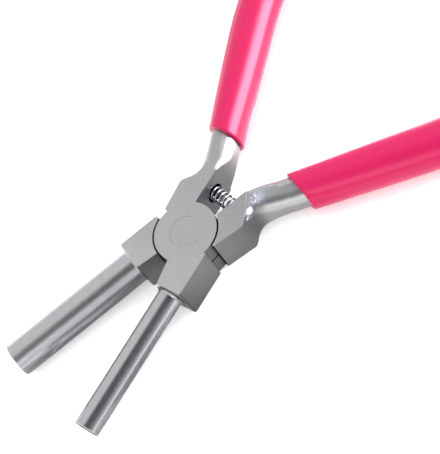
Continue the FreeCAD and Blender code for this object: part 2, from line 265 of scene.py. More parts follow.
def hammer_group() -> bpy.types.NodeTree:
    """Marks that the die leaves where a neck is drawn out of its block: a small round patch of wrinkles.

    Returns:
        A group that gives the wrinkles' height, 0 outside the patch.
    """
    nodes, given = new_group(
        "Die Wrinkles",
        {
            "Place": (Socket.VECTOR, (0.0, 0.0, 0.0)),
            "Reach": (Socket.VALUE, 0.003),
            "Scale": (Socket.VALUE, 1500.0),
        },
        {"Height": Socket.VALUE},
    )
    place = nodes.add("TexCoord").outputs["Object"]
    away = nodes.add("VectorMath", {0: place, 1: given["Place"]}, operation="DISTANCE")
    fade = {"Value": away, "From Max": given["Reach"], "To Min": 1.0, "To Max": 0.0}
    patch = nodes.add("MapRange", fade, interpolation_type="SMOOTHSTEP")
    wrinkles = nodes.add("TexNoise", {
        "Vector": place, "Scale": given["Scale"], "Detail": 3.0, "Distortion": 1.2,
    })
    height = nodes.add("Math", {0: wrinkles, 1: patch}, operation="MULTIPLY")
    nodes.add("NodeGroupOutput", {"Height": height})
    return nodes.tree


def facet_group() -> bpy.types.NodeTree:
    """A small facet with soft edges, where a corner has been touched by the grinding belt.

    Returns:
        A group that gives the surface's normal, turned to the facet's within its reach.
    """
    nodes, given = new_group(
        "Touched Facet",
        {
            "Normal": (Socket.VECTOR, (0.0, 0.0, 1.0)),
            "Place": (Socket.VECTOR, (0.0, 0.0, 0.0)),
            "Facing": (Socket.VECTOR, (0.0, 0.0, 1.0)),
            "Reach": (Socket.VALUE, 0.001),
        },
        {"Normal": Socket.VECTOR},
    )
    place = nodes.add("TexCoord").outputs["Object"]
    away = nodes.add("VectorMath", {0: place, 1: given["Place"]}, operation="DISTANCE")
    share = nodes.add("Math", {0: away, 1: given["Reach"]}, operation="DIVIDE")
    ragged = nodes.add("TexNoise", {"Vector": place, "Scale": 1400.0})
    frayed = nodes.add("Math", {0: ragged, 1: 1.2, 2: -0.6}, operation="MULTIPLY_ADD")
    edge = nodes.add("Math", {0: share, 1: frayed}, operation="ADD")
    fade = {"Value": edge, "From Min": 0.1, "To Min": 1.0, "To Max": 0.0}
    patch = nodes.add("MapRange", fade, interpolation_type="SMOOTHSTEP")
    turned = nodes.add(
        "VectorTransform", {"Vector": given["Facing"]},
        vector_type="NORMAL", convert_from="OBJECT", convert_to="WORLD",
    )
    mix = nodes.add("Mix", {"Factor": patch, "A": given["Normal"], "B": turned}, data_type="VECTOR")
    unit = nodes.add("VectorMath", {0: mix}, operation="NORMALIZE")
    nodes.add("NodeGroupOutput", {"Normal": unit})
    return nodes.tree


@dataclass(frozen=True)
class Effects:
    """The effects that the materials share, each built once."""

    grain: bpy.types.NodeTree
    wear: bpy.types.NodeTree
    surface: bpy.types.NodeTree
    hammer: bpy.types.NodeTree
    facet: bpy.types.NodeTree


def grey(level: float) -> Triple:
    """A neutral screen colour."""
    return (level, level, level)


def linear(colour: Triple) -> tuple[float, float, float, float]:
    """Turns a screen colour, 0 to 1, into the linear colour that shaders take."""
    part = [c / 12.92 if c <= 0.04045 else ((c + 0.055) / 1.055) ** 2.4 for c in colour]
    return (part[0], part[1], part[2], 1.0)


@dataclass(frozen=True)
class SteelFinish:
    """A bare steel surface, ground or polished."""

    name: str
    colour: Triple
    # The flank and crevice colours are painted shade: darker colours for the flanks and the crevices.
    flank_shade_colour: Triple
    crevice_shade_colour: Triple
    worn_colour: Triple
    roughness: Pair
    flank_roughness: float
    lines_per_metre: float
    stretch: float
    line_depth: float
    tone_share: float = 0.08
    line_strength: float = 0.5
    turn: float = 0.0
    wear: float = 0.6
    wrinkle_places: tuple[Triple, ...] = ()
    wrinkle_reach: float = 3.2
    wrinkle_depth: float = 0.26
    wrinkle_strength: float = 0.7
    facets: tuple[tuple[Triple, Triple, float], ...] = ()

    def build(self, effects: Effects) -> bpy.types.Material:
        """Makes the material.

        Args:
            effects: The shared effects.

        Returns:
            The finished material.
        """
        material, nodes = new_material(self.name)
        pattern = nodes.add("Group", {
            "Turn": self.turn, "Lines Per Metre": self.lines_per_metre, "Stretch": self.stretch,
        }, node_tree=effects.grain)
        # Painted shade: the flanks and the crevices take darker colours than the steel.
        surface = nodes.add("Group", {
            "Color": linear(self.colour),
            "Flank Shade Color": linear(self.flank_shade_colour),
            "Crevice Shade Color": linear(self.crevice_shade_colour),
        }, node_tree=effects.surface)
        scaling = {0: surface.outputs["Color"], "Scale": self.tone(nodes, pattern)}
        tinted = nodes.add("VectorMath", scaling, operation="SCALE")
        rubbed = nodes.add("Group", {
            "Color": tinted, "Worn Color": linear(self.worn_colour), "Amount": self.wear,
        }, node_tree=effects.wear)
        rough = nodes.add("MapRange", {
            "Value": pattern.outputs["Lines"], "To Min": self.roughness[0], "To Max": self.roughness[1],
        })
        coarse = nodes.add("Mix", {
            "Factor": surface.outputs["Coarse"], "A": rough, "B": self.flank_roughness,
        }, data_type="FLOAT")
        shader = nodes.add("BsdfPrincipled", {
            "Base Color": rubbed.outputs["Color"],
            "Metallic": surface.outputs["Unshaded"],
            "Roughness": coarse,
            "Specular IOR Level": 0.0,
            "Normal": self.relief(nodes, pattern, effects),
        })
        nodes.add("OutputMaterial", {"Surface": shader})
        return material

    def tone(self, nodes: Nodes, pattern: bpy.types.Node) -> bpy.types.Node:
        """Turns the grain and the cloud into one tone that the colour is scaled by.

        Args:
            nodes: The material's nodes.
            pattern: The grain group in the material.

        Returns:
            The node that gives the tone, around 1.
        """
        grain = nodes.add("MapRange", {
            "Value": pattern.outputs["Lines"], "From Min": 0.25, "From Max": 0.75,
            "To Min": 1.0 - self.tone_share, "To Max": 1.0 + self.tone_share,
        })
        cloud = nodes.add("MapRange", {
            "Value": pattern.outputs["Cloud"],
            "To Min": 1.0 - self.tone_share / 2, "To Max": 1.0 + self.tone_share / 2,
        })
        return nodes.add("Math", {0: grain, 1: cloud}, operation="MULTIPLY")

    def relief(self, nodes: Nodes, pattern: bpy.types.Node, effects: Effects) -> bpy.types.Node:
        """Raises the grain, and the wrinkles and the facets where the finish has them.

        Args:
            nodes: The material's nodes.
            pattern: The grain group in the material.
            effects: The shared effects.

        Returns:
            The node that gives the surface's normal.
        """
        last = nodes.add("Bump", {
            "Strength": self.line_strength, "Distance": self.line_depth * MM,
            "Height": pattern.outputs["Lines"],
        })
        for place in self.wrinkle_places:
            hammer = nodes.add("Group", {
                "Place": Vector(place) * MM, "Reach": self.wrinkle_reach * MM,
            }, node_tree=effects.hammer)
            last = nodes.add("Bump", {
                "Strength": self.wrinkle_strength, "Distance": self.wrinkle_depth * MM,
                "Height": hammer, "Normal": last,
            })
        for place, facing, reach in self.facets:
            last = nodes.add("Group", {
                "Place": Vector(place) * MM, "Facing": facing, "Reach": reach * MM, "Normal": last,
            }, node_tree=effects.facet)
        return last


@dataclass(frozen=True)
class VinylFinish:
    """A glossy dipped vinyl."""

    name: str = "glossy pink vinyl"
    colour: Triple = (0.82, 0.0, 0.345)
    deep_colour: Triple = (0.805, 0.0, 0.33)
    roughness: Pair = (0.20, 0.24)
    cloud_scale: float = 90.0
    ripples_per_metre: float = 420.0
    ripple_stretch: float = 0.5
    ripple_strength: float = 0.35
    ripple_depth: float = 0.012
    ior: float = 1.5
    gloss: float = 0.25
    coat: float = 0.35
    coat_roughness: float = 0.32

    def build(self, effects: Effects) -> bpy.types.Material:
        """Makes the material, with the grain group's cloud for its colour and its lines for a soft ripple.

        Args:
            effects: The shared effects.

        Returns:
            The finished material.
        """
        material, nodes = new_material(self.name)
        pattern = nodes.add("Group", {
            "Lines Per Metre": self.ripples_per_metre, "Stretch": self.ripple_stretch,
            "Cloud Scale": self.cloud_scale,
        }, node_tree=effects.grain)
        colour = nodes.add("Mix", {
            "Factor": pattern.outputs["Cloud"], "A": linear(self.deep_colour), "B": linear(self.colour),
        }, data_type="RGBA")
        rough = nodes.add("MapRange", {
            "Value": pattern.outputs["Lines"], "To Min": self.roughness[0], "To Max": self.roughness[1],
        })
        bump = nodes.add("Bump", {
            "Strength": self.ripple_strength, "Distance": self.ripple_depth * MM,
            "Height": pattern.outputs["Lines"],
        })
        shader = nodes.add("BsdfPrincipled", {
            "Base Color": colour, "Roughness": rough, "Normal": bump,
            "Metallic": 0.0, "IOR": self.ior, "Specular IOR Level": self.gloss,
            "Coat Weight": self.coat, "Coat Roughness": self.coat_roughness,
        })
        nodes.add("OutputMaterial", {"Surface": shader})
        return material


# In each finish the flank and crevice colours are painted shade, darker copies of its colour.
SATIN = SteelFinish(
    name="satin ground steel",
    colour=grey(0.71),
    flank_shade_colour=grey(0.455),
    crevice_shade_colour=grey(0.09),
    worn_colour=grey(0.80),
    roughness=(0.28, 0.44),
    flank_roughness=0.42,
    lines_per_metre=1900.0,
    stretch=0.45,
    line_depth=0.008,
    turn=-2.36,
    wrinkle_places=((-16.0, 8.0, 9.9),),
    facets=(
        ((-12.1, 9.9, 9.1), (-0.13, 0.20, 0.97), 1.6),
        ((-13.0, 9.25, 9.75), (-0.41, 0.54, 0.74), 1.25),
    ),
)
RIVET_HEAD = replace(
    SATIN,
    name="satin rivet head",
    colour=grey(0.682),
    flank_shade_colour=grey(0.545),
    crevice_shade_colour=grey(0.12),
    worn_colour=grey(0.74),
    stretch=0.5,
    turn=-2.1,
    wrinkle_places=(),
    facets=(),
)
WIRE = SteelFinish(
    name="bright plated wire",
    colour=(0.86, 0.86, 0.87),
    flank_shade_colour=(0.80, 0.80, 0.81),
    crevice_shade_colour=grey(0.16),
    worn_colour=grey(0.9),
    roughness=(0.08, 0.16),
    flank_roughness=0.14,
    lines_per_metre=3000.0,
    stretch=0.5,
    line_depth=0.001,
    tone_share=0.03,
    wear=0.0,
)
MANDREL = SteelFinish(
    name="polished steel",
    colour=(0.72, 0.718, 0.73),
    flank_shade_colour=(0.68, 0.68, 0.69),
    crevice_shade_colour=grey(0.20),
    worn_colour=(0.82, 0.82, 0.83),
    roughness=(0.16, 0.28),
    flank_roughness=0.24,
    lines_per_metre=2600.0,
    stretch=0.18,
    line_depth=0.018,
    wear=0.5,
)


# Meshes


def eased(value: float, low: float, high: float) -> float:
    """Rises smoothly from 0 at low to 1 at high."""
    share = max(0.0, min(1.0, (value - low) / (high - low)))
    return share * share * (3 - 2 * share)


def quarter(steps: int) -> list[float]:
    """Angles from 0 to a quarter turn, in radians, in even steps."""
    return [math.radians(90 * step / steps) for step in range(steps + 1)]


def piece_from(
    name: str, bm: bmesh.types.BMesh, material: bpy.types.Material, sharp_from: float = 180.0,
) -> bpy.types.Object:
    """Turns a bmesh into a smooth-shaded piece.

    Args:
        name: The piece's name.
        bm: The mesh, in metres and in place. It is freed.
        material: What the piece wears.
        sharp_from: The angle, in degrees, from which an edge stays sharp.

    Returns:
        The piece, linked to the scene.
    """
    mesh = bpy.data.meshes.new(name)
    bm.to_mesh(mesh)
    bm.free()
    mesh.materials.append(material)
    mesh.shade_smooth()
    if sharp_from < 180:
        mesh.set_sharp_from_angle(angle=math.radians(sharp_from))
    piece = bpy.data.objects.new(name, mesh)
    bpy.context.scene.collection.objects.link(piece)
    LOG.info("%s: %d faces", name, len(mesh.polygons))
    return piece


def place_along(origin: Vector, axis: Vector) -> Matrix:
    """A matrix that takes +Z to an axis and the origin to a point."""
    return Matrix.Translation(origin) @ axis.to_track_quat("Z", "Y").to_matrix().to_4x4()


def own_frame(half: Half) -> Matrix:
    """The way from the pliers' frame to an arm's own, in which the arm's centre line is the X axis.

    Args:
        half: The half that the arm is on.

    Returns:
        A matrix from metres to millimetres, with the handle along -X.
    """
    turn = math.radians(HALF_OPENING)
    lowered = Matrix.Translation((0, 0, -LAP_HEIGHT)) @ Matrix.Scale(1 / MM, 4)
    if half is Half.REAR:
        return Matrix.Rotation(math.pi, 4, "X") @ Matrix.Rotation(turn, 4, "Z") @ lowered
    return Matrix.Rotation(-turn, 4, "Z") @ lowered


def lathe(profile: list[Pair], steps: int) -> bmesh.types.BMesh:
    """Spins a profile about the Z axis.

    Args:
        profile: Pairs of height and radius, in millimetres.
        steps: Segments round the turn.

    Returns:
        The closed mesh.
    """
    bm = bmesh.new()
    line = [bm.verts.new((radius * MM, 0.0, height * MM)) for height, radius in profile]
    edges = [bm.edges.new(pair) for pair in zip(line, line[1:])]
    bmesh.ops.spin(
        bm, geom=line + edges, cent=(0, 0, 0), axis=(0, 0, 1), dvec=(0, 0, 0),
        angle=math.tau, steps=steps, use_merge=True, use_duplicate=False,
    )
    bmesh.ops.remove_doubles(bm, verts=bm.verts, dist=WELD)
    bmesh.ops.recalc_face_normals(bm, faces=bm.faces)
    return bm


@dataclass
class Forging:
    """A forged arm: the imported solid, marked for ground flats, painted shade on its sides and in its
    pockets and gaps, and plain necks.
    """

    node: str
    half: Half
    # Painted shade: the neck, inner and jaw-side shares darken the flats and sides; the room and plate-side
    # shares darken the crevices.
    neck_shade: float
    sharp_from: float = 30.0
    flat_within: float = 0.05
    side_facing: Pair = (0.25, 0.75)
    flat_facing: Pair = (0.6, 0.9)
    neck_fade: Pair = (16.0, 20.0)
    inner_fade: Pair = (17.5, 25.0)
    inner_shade: float = 0.3
    jaw_side_shade: float = 0.3
    jaw_end: float = 14.0
    flat_end: tuple[Pair, Pair] = ((-16.9, 5.14), (-21.7, 1.72))
    lap_near: float = 0.4
    wall_near: float = 0.2
    wall_facing: float = 0.3
    plate_radius: float = 7.8
    plate_side_shade: float = 0.25
    room_radius: float = 8.25
    room_shade: float = 0.85
    shoulders: tuple[Pair, Pair] = ((98.0, 156.0), (-82.0, -12.0))
    pocket_x: float = -12.4
    pocket_near: float = 0.15
    pocket_radius: float = 2.4
    pocket_depth: float = 6.2

    def build(self, material: bpy.types.Material) -> None:
        """Copies the node's mesh, closes its seams and marks its surfaces for the finish.

        Args:
            material: The steel's finish.
        """
        bm = bmesh.new()
        bm.from_mesh(FRAME["nodes"][self.node].data)
        bmesh.ops.remove_doubles(bm, verts=bm.verts, dist=CAD_WELD)
        flat_within = math.radians(self.flat_within)
        bmesh.ops.dissolve_limit(bm, angle_limit=flat_within, verts=bm.verts, edges=bm.edges)
        self.split_inner_side(bm)
        self.mark_surfaces(bm)
        piece = piece_from(self.node + "_forging", bm, material, self.sharp_from)
        even = piece.modifiers.new("flat faces stay flat", "WEIGHTED_NORMAL")
        even.weight = 100
        even.keep_sharp = True
        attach(piece, self.half.value)
        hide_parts(self.node)

    def split_inner_side(self, bm: bmesh.types.BMesh) -> None:
        """Cuts the handle's inner side along the line where its ground flat ends.

        Args:
            bm: The arm's mesh.
        """
        own = own_frame(self.half)
        back = own.inverted()
        start, end = self.flat_end
        for point, way in ((start, (end[0] - start[0], end[1] - start[1])), (end, (-1.0, 0.0))):
            bm.normal_update()
            faces = [
                face for face in bm.faces
                if (own @ face.calc_center_median()).x < 0 and (own.to_3x3() @ face.normal).y > 0
            ]
            parts = {part for face in faces for part in (*face.verts, *face.edges)}
            bmesh.ops.bisect_plane(
                bm, geom=faces + list(parts), dist=WELD, plane_co=back @ Vector((point[0], 0, point[1])),
                plane_no=(back.to_3x3() @ Vector((-way[1], 0, way[0]))).normalized(),
            )

    def past_flat(self, place: Vector) -> bool:
        """Whether a point, in metres, lies past the inner side's ground flat and above its foot."""
        own = own_frame(self.half) @ place
        (start_x, start_z), (end_x, end_z) = self.flat_end
        line = start_z + (own.x - start_x) * (end_z - start_z) / (end_x - start_x)
        return own.z > max(line, end_z)

    def mark_surfaces(self, bm: bmesh.types.BMesh) -> None:
        """Marks painted shade in the crevices, and painted shade on the flanks, which also makes them
        coarser, smoothly over the rounded necks.

        Args:
            bm: The arm's mesh.
        """
        flank_shade = bm.loops.layers.float.new("flank_shade")
        crevice_shade = bm.faces.layers.float.new("crevice_shade")
        bm.normal_update()
        limit = math.cos(math.radians(self.sharp_from))
        for face in bm.faces:
            middle = face.calc_center_median()
            face[crevice_shade] = self.shade_at(middle / MM, face.normal)
            inward = face.normal.y * middle.y < 0
            rounded = inward and self.past_flat(middle)
            for loop in face.loops:
                way = Vector()
                for other in loop.vert.link_faces:
                    if other.normal.dot(face.normal) > limit:
                        way += other.normal * other.calc_area()
                share = self.flank_shade_at(loop.vert.co / MM, way.normalized(), inward)
                loop[flank_shade] = 0.0 if rounded else share

    def flank_shade_at(self, place: Vector, normal: Vector, inward: bool) -> float:
        """How much painted shade a point gets, which also makes its surface coarser: 1 on the blocks' sides,
        0 along the necks.

        The painted shade on the flats grows evenly from the jaw's end toward the neck.

        Args:
            place: The point, in millimetres.
            normal: The surface's normal there.
            inward: Whether the surface faces the pliers' middle.

        Returns:
            The share, from 0 to 1.
        """
        side = eased(abs(normal.y), *self.side_facing)
        if inward and place.x > 0:
            return self.jaw_side_shade * side
        if inward:
            return side * (1 - (1 - self.inner_shade) * eased(-place.x, *self.inner_fade))
        neck = eased(math.hypot(place.x, place.y), *self.neck_fade) if place.x < 0 else 0.0
        back = max(0.0, min(1.0, (self.jaw_end - place.x) / (self.jaw_end + self.neck_fade[1])))
        return side * (1 - neck) + self.neck_shade * back * eased(normal.z, *self.flat_facing)

    def shade_at(self, place: Vector, normal: Vector) -> float:
        """How much painted shade a point gets in the crevices: in the spring's pocket, between the plates and
        round them.

        Args:
            place: The point, in millimetres.
            normal: The surface's normal there.

        Returns:
            The share, from 0 to 1.
        """
        off_axis = math.hypot(place.x - self.pocket_x, place.z - LAP_HEIGHT)
        deep = self.pocket_depth - abs(place.y)
        on_wall = abs(off_axis - self.pocket_radius) < self.pocket_near
        if abs(normal.y) < self.wall_facing and on_wall and deep > 0:
            return 1.0
        if off_axis < self.pocket_radius and abs(deep) < self.wall_near:
            return 1.0
        out = Vector((place.x, place.y, 0))
        if out.length > self.room_radius + self.wall_near:
            return 0.0
        # The lap between the plates gets full painted shade; walls hidden under the shoulders get it in full
        # too.
        if abs(place.z - LAP_HEIGHT) < self.lap_near:
            return 1.0
        facing = normal.dot(out.normalized())
        if facing < -self.wall_facing and out.length > self.room_radius - self.wall_near:
            return self.room_shade
        if facing > self.wall_facing and out.length > self.plate_radius - self.wall_near:
            angle = math.degrees(math.atan2(place.y, place.x))
            if self.half is Half.REAR:
                angle = -angle
            hidden = any(low < angle < high for low, high in self.shoulders)
            return 1.0 if hidden else self.plate_side_shade
        return 0.0


@dataclass
class Mandrel:
    """A round forming pin with a small cove where it leaves the jaw and a sharp rim at its tip.

    The cove is flat toward the other mandrel, so that the pliers still close.
    """

    node: str
    mount: str
    half: Half
    cove: float
    cove_line: float
    cove_steps: int = 8
    exposed: float = 36.0
    spigot: float = 4.5
    spigot_share: float = 0.6
    tip_chamfer: float = 0.2
    tip_shade: float = 0.85
    sharp_from: float = 38.0
    sides: int = 96

    def build(self, effects: Effects) -> None:
        """Spins the pin about the axis of its mount.

        Args:
            effects: The shared effects.
        """
        mount = next(m for m in FRAME["record"]["mounts"] if m["name"] == self.mount)
        radius = mount["dims"]["r_mm"]
        axis = Vector(mount["axis"])
        root = Vector(mount["pos_m"]) - axis * (self.exposed / 2 * MM)
        bm = lathe(self.profile(radius), self.sides)
        self.mark_dark_faces(bm, radius)
        bmesh.ops.transform(bm, matrix=place_along(root, axis), verts=bm.verts)
        inward = Vector((axis.y, -axis.x, 0.0)) * math.copysign(1, root.y)
        for vert in bm.verts:
            over = (vert.co - root).dot(inward) - radius * MM
            if over > 0:
                vert.co -= inward * over
        turn = math.atan2(axis.y, axis.x)
        finish = replace(MANDREL, name="polished steel %.0f" % math.degrees(turn), turn=-turn)
        piece = piece_from(self.node + "_pin", bm, finish.build(effects), self.sharp_from)
        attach(piece, self.half.value)
        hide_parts(self.node)

    def profile(self, radius: float) -> list[Pair]:
        """The pin's outline from the spigot's end, out over the cove and along to the tip.

        Args:
            radius: The mandrel's radius, in millimetres.

        Returns:
            Pairs of height along the pin and radius, in millimetres.
        """
        core = radius * self.spigot_share
        line = [(-self.spigot, 0.0), (-self.spigot, core), (0.0, core), (0.0, radius + self.cove)]
        for angle in quarter(self.cove_steps):
            line.append((
                self.cove_line + self.cove * (1 - math.cos(angle)),
                radius + self.cove * (1 - math.sin(angle)),
            ))
        line += [
            (self.exposed - self.tip_chamfer, radius),
            (self.exposed, radius - self.tip_chamfer),
            (self.exposed, 0.0),
        ]
        return line

    def mark_dark_faces(self, bm: bmesh.types.BMesh, radius: float) -> None:
        """Marks painted shade on the tip face and along the line where the cove meets the jaw, and wear on
        the tip's chamfer.

        Args:
            bm: The pin's mesh, still along +Z from the jaw.
            radius: The mandrel's radius, in millimetres.
        """
        crevice_shade = bm.faces.layers.float.new("crevice_shade")
        wear = bm.faces.layers.float.new("edge_wear")
        for face in bm.faces:
            centre = face.calc_center_median() / MM
            out = math.hypot(centre.x, centre.y)
            if centre.z > self.exposed - self.tip_chamfer / 4:
                face[crevice_shade] = self.tip_shade
            elif centre.z > self.exposed - self.tip_chamfer:
                face[wear] = 1.0
            elif centre.z < self.cove_line and out > radius:
                face[crevice_shade] = 1.0


@dataclass
class Rivet:
    """The flush rivet: a head at each face of the joint, and the shank between them."""

    node: str = "joint_rivet"
    head_depth: float = 1.8
    shank_radius: float = 2.6
    rim_break: float = 0.09
    rim_steps: int = 4
    rim_facing: Pair = (0.05, 0.95)
    rim_shade: float = 0.35
    sharp_from: float = 50.0
    sides: int = 96

    def build(self, material: bpy.types.Material) -> None:
        """Spins the rivet about the joint's axis.

        Args:
            material: The rivet's finish.
        """
        low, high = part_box(self.node)
        radius = (high.x - low.x) / 2 / MM
        height = (high.z - low.z) / MM
        rim = [
            (self.rim_break * (1 - math.sin(angle)), radius - self.rim_break * (1 - math.cos(angle)))
            for angle in reversed(quarter(self.rim_steps))
        ]
        lower = [(0.0, 0.0), (0.0, radius - 3 * self.rim_break), *rim]
        lower += [(self.head_depth, radius), (self.head_depth, self.shank_radius)]
        upper = [(height - rise, out) for rise, out in reversed(lower)]
        bm = lathe(lower + upper, self.sides)
        bmesh.ops.translate(bm, verts=bm.verts, vec=(0, 0, low.z))
        # The rim's sloped faces get painted shade, a faint dark ring round the head.
        crevice_shade = bm.faces.layers.float.new("crevice_shade")
        for face in bm.faces:
            if self.rim_facing[0] < abs(face.normal.z) < self.rim_facing[1]:
                face[crevice_shade] = self.rim_shade
        piece = piece_from("rivet_flush", bm, material, self.sharp_from)
        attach(piece, Half.FRONT.value)
        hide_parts(self.node)


@dataclass
class CoilSpring:
    """The return spring: a ring of wire spun up into a coil between the two pockets."""

    node: str = "return_spring"
    axis_x: float = -12.4
    outer_radius: float = 1.9
    wire: float = 0.6
    pitch: float = 1.3
    half_length: float = 6.1
    side_facing: Pair = (0.3, 0.75)
    side_shade: float = 0.85
    sides: int = 14
    steps_per_turn: int = 36

    def build(self, material: bpy.types.Material) -> None:
        """Spins a circle of wire into the coil between the pockets.

        Args:
            material: The wire's finish.
        """
        low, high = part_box(self.node)
        middle_z = (low.z + high.z) / 2
        coil_radius = self.outer_radius - self.wire / 2
        turns = (2 * self.half_length - self.wire) / self.pitch
        steps = round(turns * self.steps_per_turn)
        bm = bmesh.new()
        radius = self.wire / 2 * MM
        ring = bmesh.ops.create_circle(bm, cap_ends=True, segments=self.sides, radius=radius)["verts"]
        lean = math.atan2(self.pitch, math.tau * coil_radius)
        bmesh.ops.rotate(bm, verts=ring, cent=(0, 0, 0), matrix=Matrix.Rotation(-lean, 3, "X"))
        start_y = -self.half_length + self.wire / 2
        bmesh.ops.translate(bm, verts=ring, vec=(coil_radius * MM, start_y * MM, 0))
        bmesh.ops.spin(
            bm, geom=bm.verts[:] + bm.edges[:] + bm.faces[:], cent=(0, 0, 0), axis=(0, 1, 0),
            dvec=(0, turns * self.pitch / steps * MM, 0), angle=math.tau * turns, steps=steps,
            use_merge=False, use_duplicate=False,
        )
        bmesh.ops.holes_fill(bm, edges=[edge for edge in bm.edges if edge.is_boundary], sides=0)
        bmesh.ops.recalc_face_normals(bm, faces=bm.faces)
        # Painted shade on each turn's flanks, where it faces the next turns.
        crevice_shade = bm.faces.layers.float.new("crevice_shade")
        for face in bm.faces:
            face[crevice_shade] = self.side_shade * eased(abs(face.normal.y), *self.side_facing)
        half_turn = Matrix.Rotation(-math.pi * turns, 4, "Y")
        place = Matrix.Translation((self.axis_x * MM, 0, middle_z)) @ half_turn
        bmesh.ops.transform(bm, matrix=place, verts=bm.verts)
        piece = piece_from("spring_coil", bm, material)
        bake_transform(piece)
        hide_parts(self.node)


@dataclass
class Sleeve:
    """A dipped vinyl sleeve: oval rings carried along the handle's axis, from the mouth to the closed end."""

    node: str
    half: Half
    splay: float
    crossing: float
    start: float
    mouth_half_width: float
    half_width: float
    bore_half_width: float
    length: float = 76.0
    to_bend: float = 30.8
    bend_radius: float = 115.0
    widest: float = 40.0
    lip: float = 0.5
    lip_steps: int = 6
    inner_break: float = 0.08
    bore_half_height: float = 3.67
    end_cover: float = 6.0
    end_round: float = 4.2
    end_steps: int = 9
    mouth_fade: float = 9.0
    sides: int = 72
    station_gap: float = 2.0

    def axis_at(self, along: float) -> tuple[Vector, float]:
        """The handle's axis in the arm's own frame.

        Args:
            along: Length along the axis, in millimetres, from where it crosses the arm's centre line.

        Returns:
            The point, in millimetres, and the heading there, in radians.
        """
        heading = math.radians(180 + self.splay)
        point = Vector((-self.crossing, 0, 0))
        bend_start = self.start + self.to_bend
        point += Vector((math.cos(heading), math.sin(heading), 0)) * min(along, bend_start)
        if along > bend_start:
            centre = point + self.side_of(heading) * self.bend_radius
            heading -= (along - bend_start) / self.bend_radius
            point = centre - self.side_of(heading) * self.bend_radius
        return point, heading

    @staticmethod
    def side_of(heading: float) -> Vector:
        """The direction square to a heading, on the side that the handle bends to."""
        return Vector((math.sin(heading), -math.cos(heading), 0))

    def ring_points(self, along: float, half_width: float, half_height: float) -> list[Vector]:
        """One oval ring, slanted near the mouth so that the mouth is square to the arm.

        Args:
            along: Length along the handle's axis to the ring's middle, in millimetres.
            half_width: The ring's half width in the plane of the arm.
            half_height: The ring's half height.

        Returns:
            The ring's points in the arm's own frame, in millimetres.
        """
        fade = max(0.0, 1.0 - max(0.0, along - self.start) / self.mouth_fade) ** 2
        slant = math.tan(math.radians(self.splay)) * fade
        points = []
        for step in range(self.sides):
            angle = math.tau * step / self.sides
            sideways = half_width * math.cos(angle)
            point, heading = self.axis_at(along - sideways * slant)
            point += self.side_of(heading) * sideways
            points.append(point + Vector((0, 0, half_height * math.sin(angle))))
        return points

    def outline(self, half_height: float) -> list[Triple]:
        """The rings from the bore's end to the mouth, over the lip and along the sleeve to its closed end.

        Args:
            half_height: The sleeve's half height.

        Returns:
            Triples of length along the axis, half width and half height, in millimetres.
        """
        wide, high = self.bore_half_width, self.bore_half_height
        bore = self.length - self.end_cover - self.inner_break
        count = int(bore / self.station_gap)
        rows = [
            (self.start + self.inner_break + bore * (1 - step / count), wide, high)
            for step in range(count + 1)
        ]
        rows.append((self.start, wide + self.inner_break, high + self.inner_break))
        for angle in quarter(self.lip_steps):
            inset = self.lip * (1 - math.sin(angle))
            along = self.start + self.lip * (1 - math.cos(angle))
            rows.append((along, self.mouth_half_width - inset, half_height - inset))
        body = self.length - self.end_round
        count = int(body / self.station_gap)
        for step in range(1, count + 1):
            along = self.lip + (body - self.lip) * step / count
            share = math.sin(math.pi / 2 * min(1.0, along / self.widest))
            half_width = self.mouth_half_width + (self.half_width - self.mouth_half_width) * share
            rows.append((self.start + along, half_width, half_height))
        for angle in quarter(self.end_steps)[1:]:
            reach = self.start + body + self.end_round * math.sin(angle)
            inset = self.end_round * (1 - math.cos(angle))
            rows.append((reach, self.half_width - inset, half_height - inset))
        return rows

    def build(self, material: bpy.types.Material) -> None:
        """Extrudes a disc ring by ring, out along the bore and back along the outside, and closes its end.

        Args:
            material: The vinyl.
        """
        low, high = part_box(self.node)
        half_height = (high.z - low.z) / 2 / MM
        bm = bmesh.new()
        ring = bmesh.ops.create_circle(bm, cap_ends=True, segments=self.sides, radius=1.0)["verts"]
        rows = self.outline(half_height)
        loop = bm.edges[:]
        for index, (along, half_width, height) in enumerate(rows):
            if index:
                grown = bmesh.ops.extrude_edge_only(bm, edges=loop)["geom"]
                loop = [item for item in grown if isinstance(item, bmesh.types.BMEdge)]
                fresh = set(grown)
                ring = [self.carried(vert, fresh) for vert in ring]
            for vert, point in zip(ring, self.ring_points(along, half_width, height)):
                vert.co = point
        bmesh.ops.contextual_create(bm, geom=loop)
        bmesh.ops.poke(bm, faces=[face for face in bm.faces if len(face.verts) == self.sides])
        bmesh.ops.transform(bm, matrix=own_frame(self.half).inverted(), verts=bm.verts)
        bmesh.ops.recalc_face_normals(bm, faces=bm.faces)
        piece = piece_from(self.node + "_sleeve", bm, material)
        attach(piece, self.half.value)
        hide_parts(self.node)

    @staticmethod
    def carried(vert: bmesh.types.BMVert, fresh: set[object]) -> bmesh.types.BMVert:
        """The point, among the fresh ones, that an extrusion carried an old point to."""
        reached = [edge.other_vert(vert) for edge in vert.link_edges]
        return next(other for other in reached if other in fresh)


# Studio


